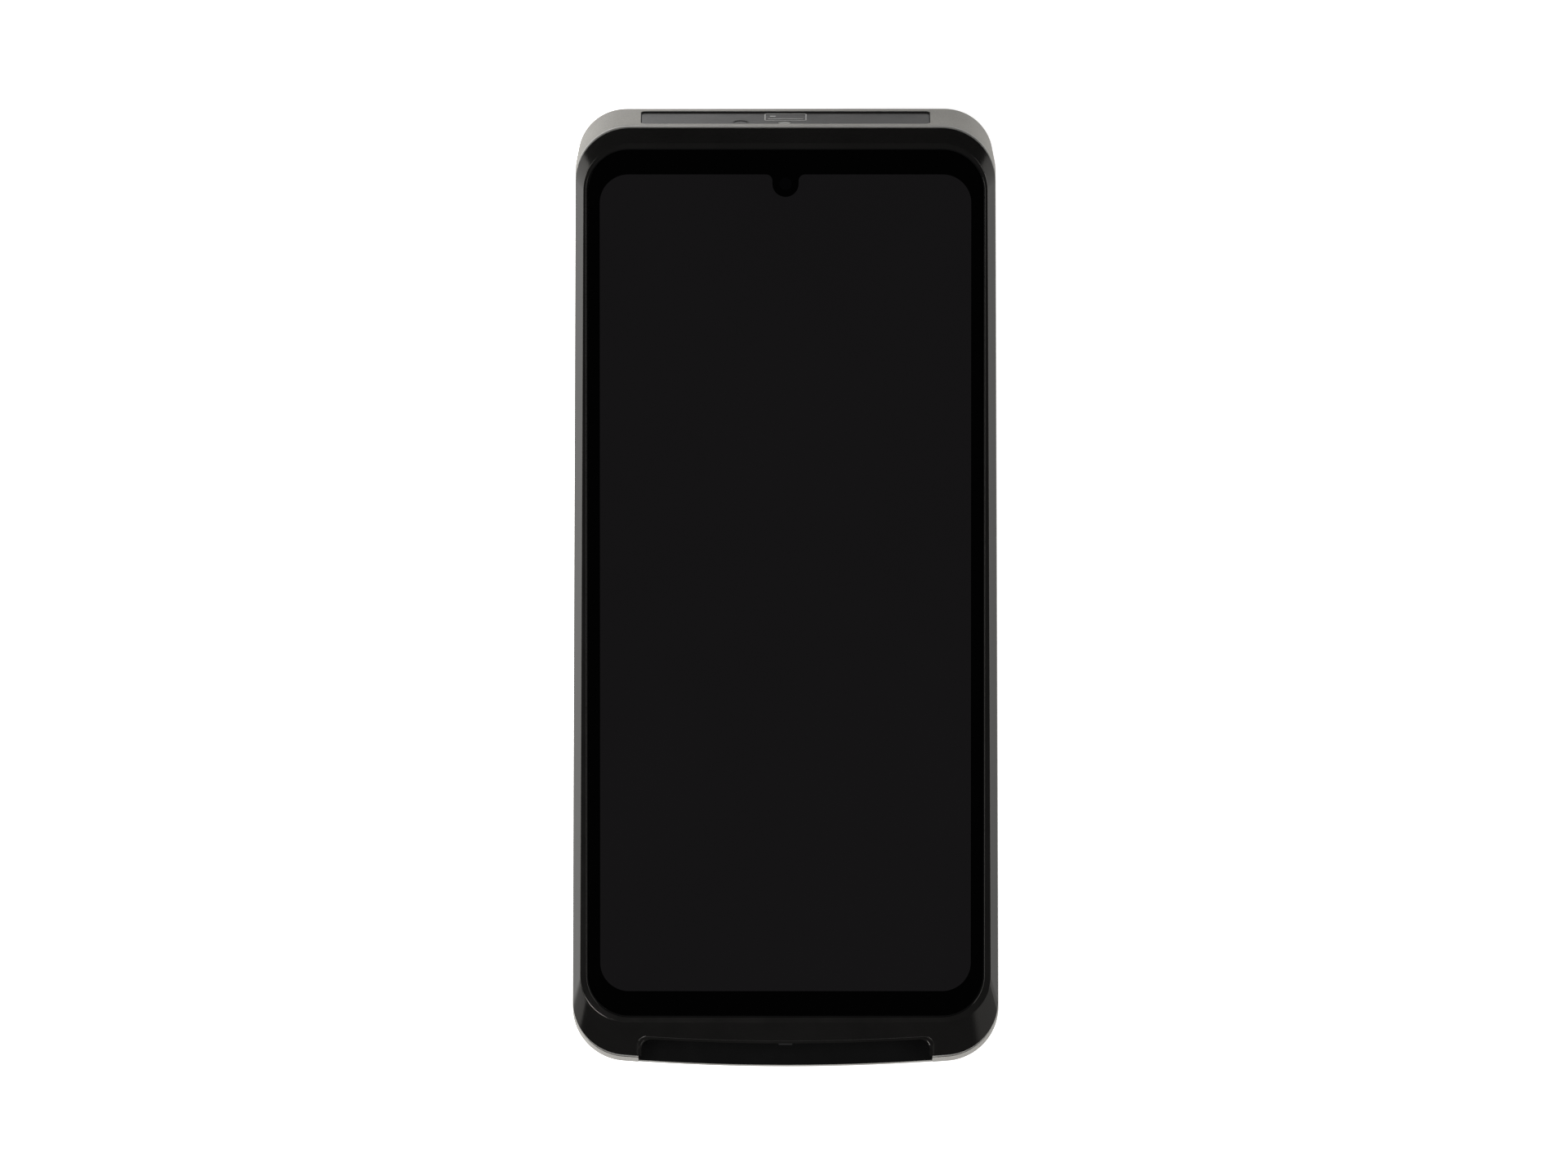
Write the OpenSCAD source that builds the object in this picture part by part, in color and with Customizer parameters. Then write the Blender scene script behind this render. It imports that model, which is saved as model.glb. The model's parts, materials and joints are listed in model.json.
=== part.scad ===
// Handheld payment terminal in the shape of a smartphone.
// It lies on its back: +Z is the way the screen faces, +Y the top end, +X the right side.
// The origin is on the back plane, at the middle of the outline.

/* [Body] */
// Overall length, from the top face to the lip under the card slot
body_length = 180.9; // [180:0.1:182]
// Overall thickness, from the back to the rim around the screen
body_depth = 18; // [17.8:0.1:18.4]
// Greatest half width at the bottom end
half_width_bottom = 40; // [39.9:0.05:40.3]
// Greatest half width at the top end
half_width_top = 39.35; // [39.3:0.05:39.8]
// Radius of the bowed bottom edge
bow_radius = 400; // [350:10:900]
// Corner radius at the bottom end
bottom_corner = 10.3; // [9.8:0.1:10.8]
// Wall thickness of the rear housing's sides
side_wall = 2.3; // [2.2:0.05:2.4]
// Thickness of the rear housing's back wall
back_wall = 2; // [1.9:0.05:2.1]

/* [Screen] */
// Half width of the cover glass
glass_half = 37.1; // [36.9:0.05:37.15]
// Length of the cover glass
glass_length = 164.1; // [163.8:0.1:164.2]
// Distance of the glass centre above the middle of the body
glass_centre = 2.75; // [2.6:0.01:3]
// Width of the lit area, a 6.7 inch panel with sides of 20 to 9
active_width = 69.8; // [68:0.1:70]
// Length of the lit area
active_length = 155.1; // [150:0.1:155.4]
// Radius of the camera notch in the lit area
notch_radius = 2.45; // [2:0.05:2.6]

/* [Card slot] */
// Half width of the slot's mouth; a bank card is 53.98 wide
slot_half = 27.6; // [27.4:0.05:27.8]
// Half width of the path between the guide rails
card_path_half = 27.3; // [27.1:0.05:27.35]
// Height of the path; a bank card is 0.76 thick
card_path_height = 1.55; // [1.2:0.05:1.6]
// How far the thumb scoop cuts in from the bottom edge
scoop_depth = 5.97; // [5.5:0.01:6.2]

/* [Top window] */
// Half width of the window in the top face
window_half = 27.1; // [25:0.1:27.5]
// Length of the window along the top face
window_length = 8.8; // [8.4:0.1:9]

/* [Keys] */
// Travel of every side key
key_travel = 0.35; // [0.2:0.05:0.35]
// Height of the side keys, across the thickness of the body
key_height = 3.2; // [2.8:0.1:3.4]
// Distance of the upper pair of keys from the middle
upper_key_y = 50; // [48:0.5:51]
// Distance of the lower pair of keys from the middle
lower_key_y = 24; // [23:0.5:26]

/* [Hidden] */

$fn = 32;
eps = 0.01;
corner_steps = 10;
bow_steps = 14;

// Levels, from the back plane up
z_back_edge = 3;
z_bulge = 10.8;
z_rim = 14.2;
z_ring_low = 14.4;
z_ring_high = 15.45;
z_frame = 15.6;
z_ledge = 16.4;
z_glass = body_depth - 1.15;
glass_thickness = 0.85;
z_plate = 13;
plate_thickness = 1;
z_board = 8.4;
board_thickness = 1;
z_secure = 8.75;
secure_thickness = 0.8;
z_slot = 11.3;
lip_thickness = 0.7;
z_cell = 15.4;
z_key = 8.6;

// Ends of the outlines
y_end = body_length / 2;
y_rim_top = y_end - 1.37;
y_rim_bottom = -y_end + 1.56;
y_ring_top = y_end - 1.38;
y_ring_bottom = -y_end + 1.8;
y_frame_top = y_end - 1.68;
y_frame_bottom = -y_end + 2.41;
y_land_top = y_end - 4.16;
y_land_bottom = -y_end + 9.58;
y_scoop = -y_end + scoop_depth;
y_glass_top = glass_centre + glass_length / 2;
y_glass_bottom = glass_centre - glass_length / 2;
y_active_top = glass_centre + active_length / 2;
y_notch = y_active_top - 1.8;
y_card_stop = -40;
top_slope = atan((y_end - y_rim_top) / (z_rim - z_back_edge));

// Places of the repeated parts
housing_screw_places = [for (s = [-1, 1]) each [[34 * s, 68], [34 * s, 4], [33.2 * s, -72]]];
board_screw_places = [for (s = [-1, 1]) each [[28.3 * s, 64], [28.3 * s, -29]]];
cover_screw_places = [[-24, -41.2], [24, -41.2]];
pad_places = [for (i = [-1.5:1:1.5]) [7 * i, -78]];
port_y = -48;
port_z = 7.1;
tray_z = 7.2;
rear_camera_place = [-24.5, 76];
flash_place = [-13.5, 76];
speaker_place = [18, 76];
motor_place = [12, -66, 4.8];
lens_x = -8.4;
led_x = -0.2;
scan_z = 11.2;

// ---- outlines ----

function arc(cx, cy, r, a0, a1, n) =
    [for (i = [0:n]) let (a = a0 + (a1 - a0) * i / n) [cx + r * cos(a), cy + r * sin(a)]];

// Outline of the body: two rounded top corners, two rounded bottom corners, a bowed bottom edge
function outline(half_top, half_bottom, y_top, y_bottom, r_top, r_bottom, bow) =
    let (
        cx = half_bottom - r_bottom,
        a = asin(cx / (bow - r_bottom)),
        cy = y_bottom + bow - (bow - r_bottom) * cos(a),
        edge = arc(0, y_bottom + bow, bow, 270 - a, 270 + a, bow_steps)
    )
    concat(
        arc(-cx, cy, r_bottom, 180, 270 - a, corner_steps),
        [for (i = [1:bow_steps - 1]) edge[i]],
        arc(cx, cy, r_bottom, 270 + a, 360, corner_steps),
        arc(half_top - r_top, y_top - r_top, r_top, 0, 90, corner_steps),
        arc(r_top - half_top, y_top - r_top, r_top, 90, 180, corner_steps)
    );

function rounded_rect(half_x, half_y, r) = concat(
    arc(half_x - r, half_y - r, r, 0, 90, 6),
    arc(r - half_x, half_y - r, r, 90, 180, 6),
    arc(r - half_x, r - half_y, r, 180, 270, 6),
    arc(half_x - r, r - half_y, r, 270, 360, 6)
);

// The body's outline at the widest level, moved in by a distance on every side
function body_outline(inset, y_top, y_bottom, r_top = 10) = outline(
    half_width_top - inset, half_width_bottom - inset, y_top, y_bottom,
    r_top, bottom_corner - inset, bow_radius - inset
);

// Outline of the screen stack, grown from the glass by a distance
function screen_outline(grow) = outline(
    glass_half + grow, glass_half + grow, y_glass_top + grow, y_glass_bottom - grow,
    7.6 + grow, 7.6 + grow, 20000
);

// Solid through a list of [z, outline] rings that all have the same number of points
module loft(rings) {
    n = len(rings[0][1]);
    last = len(rings) - 1;
    points = [for (ring = rings) each [for (p = ring[1]) [p[0], p[1], ring[0]]]];
    sides = [for (k = [0:last - 1]) for (i = [0:n - 1])
        let (j = (i + 1) % n) each [
            [k * n + i, (k + 1) * n + i, k * n + j],
            [k * n + j, (k + 1) * n + i, (k + 1) * n + j]
        ]];
    bottom = [[for (i = [0:n - 1]) i]];
    top = [[for (i = [n - 1:-1:0]) last * n + i]];
    polyhedron(points = points, faces = concat(bottom, sides, top), convexity = 6);
}

module prism(points, z0, z1) {
    translate([0, 0, z0]) linear_extrude(z1 - z0) polygon(points);
}

module slab(half_x, half_y, r, z0, z1, at = [0, 0]) {
    translate([at[0], at[1], 0]) prism(rounded_rect(half_x, half_y, r), z0, z1);
}

module box(low, high) {
    translate(low) cube(high - low);
}

module disc(at, r, z0, z1) {
    translate([at[0], at[1], z0]) cylinder(h = z1 - z0, r = r);
}

// Cylinder along X from x0 to x1
module rod_x(x0, x1, y, z, r) {
    translate([x0, y, z]) rotate([0, 90, 0]) cylinder(h = x1 - x0, r = r);
}

// Cylinder along Y from y0 to y1
module rod_y(y0, y1, x, z, r) {
    translate([x, y0, z]) rotate([-90, 0, 0]) cylinder(h = y1 - y0, r = r);
}

// Frame on the sloped top face: x across, y out of the face, z up the face from its front rim
module on_top_face() {
    translate([0, y_rim_top, z_rim]) rotate([top_slope, 0, 0]) children();
}

// Rounded plate on the top face, between two depths and two places along the face
module face_plate(half_x, r, depth0, depth1, along0, along1) {
    middle = (along0 + along1) / 2;
    on_top_face() translate([0, depth1, middle]) rotate([90, 0, 0])
        linear_extrude(depth1 - depth0) polygon(rounded_rect(half_x, (along1 - along0) / 2, r));
}

// The bay in the bottom end that the card and the thumb reach into
module scoop(grow, z0, z1) {
    half = slot_half + grow;
    r = 1.9;
    y_low = -y_end - 2;
    upper = y_scoop + grow;
    bow = bow_radius - scoop_depth;
    a = asin((half - r) / (bow + r));
    edge = arc(0, upper + bow, bow, 270 + a, 270 - a, 12);
    y_corner = upper + bow - (bow + r) * cos(a);
    prism(concat(
        [[-half, y_low], [half, y_low]],
        arc(half - r, y_corner, r, 0, 90 - a, 5),
        [for (i = [1:11]) edge[i]],
        arc(r - half, y_corner, r, 90 + a, 180, 5)
    ), z0, z1);
}

// ---- casing ----

module front_frame() {
    lower = [half_width_top - 0.1, half_width_bottom - 0.1];
    upper = [37.9, 38.6];
    color([0.03, 0.03, 0.03]) difference() {
        loft([
            [z_frame, outline(lower[0] - 0.12, lower[1] - 0.12, y_frame_top - 0.12,
                y_frame_bottom + 0.12, 10, bottom_corner - 0.2, bow_radius)],
            [z_frame + 0.2, outline(lower[0], lower[1], y_frame_top, y_frame_bottom,
                10.1, bottom_corner - 0.1, bow_radius)],
            [body_depth - 0.12, outline(upper[0], upper[1], y_land_top, y_land_bottom,
                8.9, 8.8, 4000)],
            [body_depth, outline(upper[0] - 0.15, upper[1] - 0.2, y_land_top - 0.2,
                y_land_bottom + 0.25, 8.7, 8.6, 4000)]
        ]);
        prism(screen_outline(0.45), z_ledge, body_depth + 1);
        prism(screen_outline(-0.6), z_frame - 1, body_depth + 1);
        scoop(0, z_frame - 1, body_depth + 1);
    }
}

module mid_frame() {
    color("silver") difference() {
        union() {
            prism(outline(half_width_top - 0.07, half_width_bottom - 0.07, y_ring_top,
                y_ring_bottom, 10, bottom_corner - 0.1, bow_radius), z_ring_low, z_ring_high);
            prism(body_outline(side_wall + 0.2, y_end - 4.05, -y_end + 3.3, 7.7),
                z_plate, z_ring_low);
        }
        prism(screen_outline(-0.6), z_plate + plate_thickness, z_ring_high + 1);
        scoop(0.1, z_plate - 1, z_ring_high + 1);
        disc([0, y_notch], 4, z_plate - 1, z_ring_high);
        box([-14.2, -68.2, z_plate - 1], [20.2, -43.8, z_ring_high]);
        box([-12, -31, z_plate - 1], [-2, -28, z_ring_high]);
        for (p = housing_screw_places) disc(p, 1, z_plate - 1, z_plate + 0.8);
    }
}

// Outer shape of the rear housing: rounded back edge, drafted walls, flared lower lip
module housing_body() {
    edge = z_back_edge;
    back = [for (t = [0, 22, 45, 68]) let (
            z = edge * (1 - cos(t)),
            inset = edge * (1 - sin(t)) + 0.6
        )
        [z, outline(half_width_top - inset, half_width_bottom - inset, y_end + 0.6 - inset,
            -y_end + 0.65 + inset, 8.9 + 0.6 - inset * 0.8, bottom_corner - inset * 0.8,
            bow_radius)]];
    loft(concat(back, [
        [edge, outline(half_width_top - 0.5, half_width_bottom - 0.6, y_end, -y_end + 1.25,
            8.9, bottom_corner - 0.4, bow_radius)],
        [z_bulge, outline(half_width_top, half_width_bottom,
            y_end - (z_bulge - edge) * tan(top_slope), -y_end, 9.6, bottom_corner, bow_radius)],
        [z_bulge + 1.2, outline(half_width_top, half_width_bottom,
            y_end - (z_bulge + 1.2 - edge) * tan(top_slope), -y_end + 0.25, 9.7,
            bottom_corner, bow_radius)],
        [z_rim, outline(half_width_top - 0.12, half_width_bottom - 0.12, y_rim_top,
            y_rim_bottom, 10, bottom_corner - 0.1, bow_radius)]
    ]));
}

// Shallow pocket in the side wall and the slot that a key comes through
module key_opening(side, y, length) {
    pocket_floor = half_width_top - 0.85;
    scale([side, 1, 1]) {
        translate([pocket_floor, y, z_key]) rotate([90, 0, 90])
            linear_extrude(4) polygon(rounded_rect(length / 2 + 1, key_height / 2 + 1, 2));
        translate([30, y, z_key]) rotate([90, 0, 90])
            linear_extrude(12)
                polygon(rounded_rect(length / 2 + 0.15, key_height / 2 + 0.15, 1.5));
    }
}

module rear_housing() {
    color([0.62, 0.61, 0.59]) difference() {
        union() {
            difference() {
                housing_body();
                prism(body_outline(side_wall, y_end - 3.85, -y_end + 3.05, 7.8),
                    back_wall, z_rim + 1);
            }
            for (p = housing_screw_places) disc(p, 2.6, back_wall - 0.5, z_plate - 0.05);
            for (p = board_screw_places) disc(p, 2.2, back_wall - 0.5, z_board);
            for (p = cover_screw_places) disc(p, 2, back_wall - 0.5, 6);
        }
        scoop(0.05, z_slot - lip_thickness - 0.05, z_rim + 1);
        // battery bay and the rebate for its cover
        slab(30.15, 46.15, 5.15, -1, 1.3, [0, 2]);
        slab(25.8, 40.3, 2, -1, back_wall + eps, [0, 2]);
        // top window, with a ledge behind it
        face_plate(window_half, 1, -1.5, 2, -1 - window_length, -1);
        face_plate(window_half - 1.2, 1, -9, 2, 0.3 - window_length, -2.3);
        // rear camera, flash and speaker
        slab(12.8, 6, 5.9, -1, 0.65, [-19, 76]);
        disc(rear_camera_place, 4.15, -1, back_wall + eps);
        disc(flash_place, 2.2, -1, back_wall + eps);
        for (i = [-3:3]) {
            slab(0.6, 4.5, 0.55, -1, back_wall + eps, [speaker_place[0] + 2.4 * i, 76]);
        }
        // charging pads
        for (p = pad_places) disc(p, 2.1, -1, back_wall + eps);
        // screw holes
        for (p = housing_screw_places) {
            disc(p, 2.1, -1, 3.2);
            disc(p, 1.15, -1, z_plate);
        }
        for (p = board_screw_places) disc(p, 0.8, 4.4, z_board + 1);
        for (p = cover_screw_places) disc(p, 0.8, -1, 5);
        // ports in the side walls
        translate([-half_width_bottom - 1, port_y, port_z]) rotate([90, 0, 90])
            linear_extrude(6) polygon(rounded_rect(4.75, 1.9, 1.85));
        translate([36, port_y, tray_z]) rotate([90, 0, 90])
            linear_extrude(6) polygon(rounded_rect(8.2, 1.1, 1.05));
        rod_x(-half_width_bottom - 1, -35, -66, 7.2, 0.6);
        key_opening(1, upper_key_y, 12);
        key_opening(-1, upper_key_y, 20);
        key_opening(1, lower_key_y, 20);
        key_opening(-1, lower_key_y, 20);
    }
}

module rear_cover() {
    color([0.12, 0.12, 0.12]) difference() {
        slab(30, 46, 5, 0, 1.25, [0, 2]);
        for (p = cover_screw_places) {
            disc(p, 1.7, -1, 0.8);
            disc(p, 0.9, -1, 2);
        }
        slab(9, 1.6, 1.5, -1, 0.45, [0, 43.5]);
    }
}

// Thin foam ring between two parts of the casing
module casing_gasket(inset, width, z0, z1) {
    color([0.05, 0.05, 0.05]) difference() {
        prism(body_outline(inset, y_rim_top - inset, y_ring_bottom + inset, 9), z0, z1);
        prism(body_outline(inset + width, y_rim_top - inset - width,
            y_ring_bottom + inset + width, 8.4), z0 - 1, z1 + 1);
        scoop(0.4, z0 - 1, z1 + 1);
    }
}

module frame_gasket() {
    casing_gasket(0.75, 0.9, z_ring_high, z_frame);
}

module housing_gasket() {
    casing_gasket(0.75, 0.5, z_rim, z_ring_low);
}

// ---- screen ----

module cover_glass() {
    color([0.02, 0.02, 0.02]) prism(screen_outline(0), z_glass, z_glass + glass_thickness);
}

module glass_surround() {
    color([0.05, 0.05, 0.05]) difference() {
        prism(screen_outline(0.32), z_ledge, z_glass + glass_thickness + 0.15);
        prism(screen_outline(0.05), z_ledge - 1, body_depth + 1);
    }
}

module glass_adhesive() {
    color([0.08, 0.08, 0.08]) difference() {
        prism(screen_outline(-0.1), z_ledge, z_glass);
        prism(screen_outline(-0.5), z_ledge - 1, z_glass + 1);
    }
}

// Rounded notch that leaves room for the front camera
module camera_notch(r, y_top, z0, z1) {
    disc([0, y_notch], r, z0, z1);
    box([-r, y_notch, z0], [r, y_top, z1]);
}

module display_panel() {
    color([0.08, 0.08, 0.08]) difference() {
        slab(active_width / 2, active_length / 2, 5.4, z_cell + 1.05, z_glass - 0.05,
            [0, glass_centre]);
        camera_notch(notch_radius, y_active_top + 1, z_cell, z_glass);
    }
}

module display_cell() {
    color([0.2, 0.22, 0.24]) difference() {
        slab(36, 80.9, 6, z_cell, z_cell + 1, [0, glass_centre]);
        camera_notch(notch_radius, y_glass_top, z_cell - 1, z_glass);
    }
}

module backlight() {
    color("white") difference() {
        slab(36, 80.9, 6, z_plate + plate_thickness + 0.1, z_cell - 0.05, [0, glass_centre]);
        disc([0, y_notch], 3.2, z_plate, z_glass);
    }
}

module front_camera() {
    color([0.1, 0.1, 0.1]) {
        slab(3.5, 3.5, 0.5, 9.5, z_plate - 0.1, [0, y_notch]);
        disc([0, y_notch], 2.2, z_plate - 0.1, 16.3);
    }
}

module front_camera_lens() {
    color([0.05, 0.06, 0.1]) disc([0, y_notch], 1.3, 16.3, z_glass - 0.1);
}

// ---- top window, scanner and contactless antenna ----

module top_window() {
    color([0.25, 0.25, 0.25])
        face_plate(window_half - 0.12, 0.9, -1.4, -0.4, -1 - window_length + 0.12, -1.12);
}

module window_seal() {
    half_along = window_length / 2;
    color([0.03, 0.03, 0.03]) difference() {
        face_plate(window_half - 0.15, 0.85, -1.5, -1.4, -0.85 - window_length, -1.15);
        face_plate(window_half - 1.2, 1, -2, -1, 0.3 - window_length, -2.3);
    }
}

// Picture of a plain card with a stripe, standing for the tap zone
module tap_symbol() {
    along = -6.5;
    color("white") {
        difference() {
            face_plate(3.9, 0.7, -0.4, -0.33, along - 2.5, along + 2.5);
            face_plate(3.55, 0.4, -1, 0, along - 2.15, along + 2.15);
        }
        face_plate(3.0, 0.3, -0.4, -0.33, along + 0.35, along + 1.35);
        face_plate(1.2, 0.2, -0.4, -0.33, along - 1.4, along - 0.7);
    }
}

module scan_engine() {
    color([0.15, 0.15, 0.16]) difference() {
        box([-14, 71, 7], [-3.8, 84.4, z_plate - 0.1]);
        rod_y(80, 85, lens_x, scan_z, 1.4);
    }
}

module scan_lens() {
    color([0.2, 0.1, 0.15]) rod_y(80, 86.5, lens_x, scan_z, 1.4);
}

module scan_led() {
    color([0.9, 0.9, 0.85]) {
        box([led_x - 1.8, 82.4, 8.4], [led_x + 1.8, 85.2, 12.4]);
        rod_y(85.2, 86.5, led_x, scan_z, 1.2);
    }
}

// Window in the antenna boards that the scanner looks through
module scan_gap(y0, y1) {
    box([-15, y0, 6.6], [4, y1, 13.2]);
}

module nfc_ferrite() {
    color([0.25, 0.22, 0.2]) difference() {
        box([-30, 85.3, 2.3], [30, 85.9, 12.9]);
        scan_gap(85, 86.5);
    }
}

module nfc_antenna() {
    y0 = 85.9;
    color([0.72, 0.45, 0.2]) for (i = [0:2]) {
        low = 0.4 + 1.1 * i;
        difference() {
            box([-30 + low, y0, 2.3 + low], [30 - low, y0 + 0.15, 12.9 - low]);
            box([-29.4 + low, y0 - 1, 2.9 + low], [29.4 - low, y0 + 1, 12.3 - low]);
            scan_gap(85, 86.5);
        }
    }
}

// ---- card reader ----

module card_guide() {
    z_top = z_slot + card_path_height;
    color([0.07, 0.07, 0.07]) difference() {
        union() {
            box([-28.6, -84, 9.85], [28.6, -38.4, z_slot]);
            // ramp under the scoop, bowed like the housing, and a lip over the housing's wall
            intersection() {
                union() {
                    prism(body_outline(side_wall + 0.15, y_end - 4, -y_end + 3.15, 7.7),
                        9.85, z_slot);
                    prism(body_outline(0.45, y_end - 4, -y_end + 0.45),
                        z_slot - lip_thickness, z_slot);
                }
                box([-slot_half + 0.1, -y_end, 9], [slot_half - 0.1, -83, z_slot]);
            }
            for (s = [-1, 1]) scale([s, 1, 1])
                box([card_path_half, -82.5, z_slot - 0.2], [28.6, -38.4, z_top]);
            box([-28, y_card_stop, z_slot - 0.2], [28, -38.4, z_top]);
        }
        box([17.9, y_card_stop - 1, 11.5], [20.3, -38, 12.6]);
    }
}

module card_reader() {
    z_under = z_slot + card_path_height + 0.1;
    color([0.1, 0.1, 0.1]) difference() {
        box([-14, -68, z_under], [20, -44, z_under + 1]);
        for (row = [0, 1]) for (i = [0:3]) contact_pocket(row, i, 0.25, z_under - 1, z_under + 2);
    }
}

// Room for one spring contact; the eight lie where a bank card has its pads
module contact_pocket(row, i, grow, z0, z1) {
    x = 3.1 + 2.54 * (i - 1.5);
    y = row == 0 ? -51.5 : -59.1;
    box([x - 0.55 - grow, y - 1.8 - grow, z0], [x + 0.55 + grow, y + 1.8 + grow, z1]);
}

module card_contacts() {
    z_under = z_slot + card_path_height + 0.1;
    color([0.85, 0.65, 0.25]) for (row = [0, 1]) for (i = [0:3]) {
        x = 3.1 + 2.54 * (i - 1.5);
        y = row == 0 ? -51.5 : -59.1;
        contact_pocket(row, i, 0, z_under + 0.2, z_under + 0.45);
        box([x - 0.4, y - 1.6, z_under - 0.55], [x + 0.4, y - 0.8, z_under + 0.2]);
    }
}

module card_switch() {
    color([0.15, 0.15, 0.15]) box([16.5, -36.5, 9.6], [21.5, -33.6, 12.6]);
}

module card_plunger() {
    color("ivory") {
        box([18.1, y_card_stop - 0.9, 11.65], [20.1, -37.4, 12.45]);
    }
}

// ---- boards ----

module main_board() {
    color([0.05, 0.3, 0.15]) difference() {
        slab(30.8, 51.3, 2, z_board, z_board + board_thickness, [0, 18.5]);
        for (p = board_screw_places) disc(p, 0.9, z_board - 1, z_board + 2);
    }
}

module processor_chips() {
    z0 = z_board + board_thickness;
    color([0.12, 0.12, 0.13]) {
        box([-20, 36, z0], [-6, 50, z0 + 1.2]);
        box([8, 30, z0], [20, 42, z0 + 1]);
        box([-18, -16, z0], [-8, -6, z0 + 1]);
        box([4, -18, z0], [16, -4, z0 + 0.9]);
    }
}

module shield_can(low, high) {
    z0 = z_board + board_thickness;
    difference() {
        box([low[0], low[1], z0], [high[0], high[1], z0 + 2]);
        box([low[0] + 0.2, low[1] + 0.2, z0 - 1], [high[0] - 0.2, high[1] - 0.2, z0 + 1.8]);
    }
}

module rf_shields() {
    color([0.75, 0.76, 0.76]) {
        shield_can([-26, 26], [-1, 66]);
        shield_can([2, 20], [26, 60]);
        shield_can([-25, -26], [25, 12]);
    }
}

module secure_board() {
    color([0.05, 0.2, 0.35])
        slab(29.6, 22.5, 1.5, z_secure, z_secure + secure_thickness, [0, -60.6]);
}

module secure_module() {
    color([0.1, 0.1, 0.1]) box([-16, -62, 6.6], [2, -44, z_secure]);
}

module board_flex() {
    color([0.7, 0.45, 0.1]) box([-10, -42, z_secure + secure_thickness],
        [10, -31, z_secure + secure_thickness + 0.2]);
}

// ---- power ----

module battery() {
    color([0.2, 0.2, 0.22]) slab(25.4, 39.8, 1.5, back_wall + 0.1, 7.5, [0, 2]);
}

module battery_lead() {
    color([0.7, 0.45, 0.1]) box([12, 41.8, 6.9], [20, 49, 7.2]);
}

module battery_connector() {
    color([0.9, 0.88, 0.8]) box([11, 46, 7.2], [21, 49, z_board]);
}

module charge_contacts() {
    color([0.85, 0.65, 0.25]) for (p = pad_places) disc(p, 1.9, 0.12, back_wall + 0.1);
}

module contact_block() {
    color([0.1, 0.1, 0.1]) slab(14, 3.4, 1, back_wall + 0.1, 4, [0, -78]);
}

// ---- keys ----

// A key that stands in a slot of the right wall, with a flange that keeps it in
module side_key(y, length, flange_depth = 0.85) {
    outer = half_width_top - 0.04;
    flange = 36.1;
    translate([flange, y, z_key]) rotate([90, 0, 90]) {
        linear_extrude(flange_depth)
            polygon(rounded_rect(length / 2 + 0.7, key_height / 2 + 0.6, 0.6));
        linear_extrude(outer - flange)
            polygon(rounded_rect(length / 2, key_height / 2, 1.35));
    }
}

module power_key() {
    color([0.1, 0.1, 0.1]) side_key(upper_key_y, 12);
}

module volume_key() {
    color([0.1, 0.1, 0.1]) scale([-1, 1, 1]) side_key(upper_key_y, 20, 0.6);
}

module scan_key_left() {
    color([0.8, 0.4, 0.1]) scale([-1, 1, 1]) side_key(lower_key_y, 20);
}

module scan_key_right() {
    color([0.8, 0.4, 0.1]) side_key(lower_key_y, 20);
}

module tact_switch(side, y) {
    scale([side, 1, 1]) {
        box([34.5, y - 1.8, z_key - 1.5], [35.2, y + 1.8, z_key + 1.5]);
        rod_x(35.2, 35.7, y, z_key, 0.9);
    }
}

module side_switches() {
    color([0.7, 0.7, 0.7]) {
        tact_switch(1, upper_key_y);
        tact_switch(1, lower_key_y);
        tact_switch(-1, lower_key_y);
        tact_switch(-1, upper_key_y + 7);
        tact_switch(-1, upper_key_y - 7);
    }
}

module key_flex() {
    color([0.7, 0.45, 0.1]) for (s = [-1, 1]) scale([s, 1, 1])
        box([34.2, 14, 6.6], [34.5, 60, 10.6]);
}

// ---- side ports ----

module sim_tray() {
    color([0.6, 0.6, 0.6]) difference() {
        union() {
            translate([37.1, port_y, tray_z]) rotate([90, 0, 90])
                linear_extrude(2.35) polygon(rounded_rect(8, 0.9, 0.85));
            box([21.5, port_y - 7, tray_z - 0.45], [37.2, port_y + 7, tray_z + 0.45]);
        }
        box([24, port_y - 4.5, tray_z - 0.2], [36.4, port_y + 4.5, tray_z + 1]);
        rod_x(35, 41, port_y + 6, tray_z, 0.4);
    }
}

module sim_socket() {
    color([0.75, 0.76, 0.76]) difference() {
        box([20, port_y - 8.6, tray_z - 0.9], [36.9, port_y + 8.6, z_secure - 0.05]);
        box([21, port_y - 7.15, tray_z - 0.6], [38, port_y + 7.15, tray_z + 0.6]);
    }
}

module usb_port() {
    color([0.75, 0.76, 0.76]) {
        difference() {
            translate([-37.3, port_y, port_z]) rotate([90, 0, 90])
                linear_extrude(7.3) polygon(rounded_rect(4.47, 1.6, 1.55));
            translate([-38, port_y, port_z]) rotate([90, 0, 90])
                linear_extrude(7) polygon(rounded_rect(4.17, 1.3, 1.25));
        }
        box([-36.8, port_y - 3.3, port_z - 0.35], [-30.9, port_y + 3.3, port_z + 0.35]);
    }
}

// ---- cameras, sound and vibration ----

module rear_camera() {
    color([0.1, 0.1, 0.1]) {
        disc(rear_camera_place, 4, 0.95, 2.6);
        slab(5, 5, 0.5, 2.6, 8, rear_camera_place);
    }
}

module rear_camera_lens() {
    color([0.05, 0.06, 0.1]) disc(rear_camera_place, 2.4, 0.68, 0.95);
}

module flash_led() {
    color([0.95, 0.9, 0.6]) disc(flash_place, 2, 0.68, 2.4);
}

module camera_window() {
    color([0.02, 0.02, 0.02]) slab(12.65, 5.85, 5.75, 0.1, 0.65, [-19, 76]);
}

module loudspeaker() {
    color([0.12, 0.12, 0.12]) slab(10, 6, 1, back_wall + 0.3, 6.5, speaker_place);
}

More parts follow.
